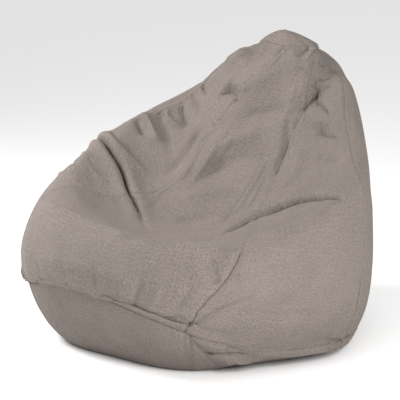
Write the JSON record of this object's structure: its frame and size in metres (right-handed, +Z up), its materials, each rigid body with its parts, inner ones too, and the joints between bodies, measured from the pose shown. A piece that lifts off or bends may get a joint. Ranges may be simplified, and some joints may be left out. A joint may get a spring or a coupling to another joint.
{
  "type": "bean bag chair",
  "caption": "Slumped pear-shaped bean bag chair with a hollow seat, a tall back, a tapered-panel cloth cover, a liner and loose bead fill.",
  "frame": {"origin": "on the floor under the middle of the bag", "axes": "+Z up, the seat faces -Y, +X to the right as one looks at the seat from the front"},
  "size_m": [0.8804, 0.8628, 0.7002],
  "materials": {
    "cover_cloth": "woven upholstery cloth, taupe grey",
    "liner_cloth": "thin plain-weave liner cloth, off-white",
    "beads": "expanded polystyrene beads",
    "zip_tape": "woven tape",
    "zip_teeth": "nylon coil",
    "zip_metal": "cast zinc, satin",
    "label": "satin ribbon, blank"
  },
  "bodies": {
    "root": {"cover_front_panel": "cover_cloth", "cover_front_right_panel": "cover_cloth", "cover_back_right_panel": "cover_cloth", "cover_back_panel": "cover_cloth", "cover_back_left_panel": "cover_cloth", "cover_front_left_panel": "cover_cloth", "cover_cap": "cover_cloth", "cover_base_front": "cover_cloth", "cover_base_back": "cover_cloth", "cover_zip_tape_front": "zip_tape", "cover_zip_tape_back": "zip_tape", "cover_zip_teeth_front": "zip_teeth", "cover_zip_teeth_back": "zip_teeth", "cover_zip_stops": "zip_metal", "liner_front_panel": "liner_cloth", "liner_front_right_panel": "liner_cloth", "liner_back_right_panel": "liner_cloth", "liner_back_panel": "liner_cloth", "liner_back_left_panel": "liner_cloth", "liner_front_left_panel": "liner_cloth", "liner_cap": "liner_cloth", "liner_base_front": "liner_cloth", "liner_base_back": "liner_cloth", "liner_zip_tape_front": "zip_tape", "liner_zip_tape_back": "zip_tape", "liner_zip_teeth_front": "zip_teeth", "liner_zip_teeth_back": "zip_teeth", "liner_zip_stops": "zip_metal", "care_label": "label", "bead_fill": "beads"},
    "cover_slider": {"cover_zip_slider": "zip_metal"},
    "cover_pull": {"cover_zip_pull": "zip_metal"},
    "liner_slider": {"liner_zip_slider": "zip_metal"}
  },
  "joints": [
    {"name": "cover_slider_slide", "type": "slide", "parent": "root", "child": "cover_slider", "axis": [-1, 0, 0], "range_m": [0, 0.382]},
    {"name": "cover_pull_swing", "type": "hinge", "parent": "cover_slider", "child": "cover_pull", "pos_m": [0.191, 0, 0.0042], "axis": [0, -1, 0], "range_deg": [0, 175]},
    {"name": "liner_slider_slide", "type": "slide", "parent": "root", "child": "liner_slider", "axis": [-1, 0, 0], "range_m": [0, 0.382]}
  ]
}
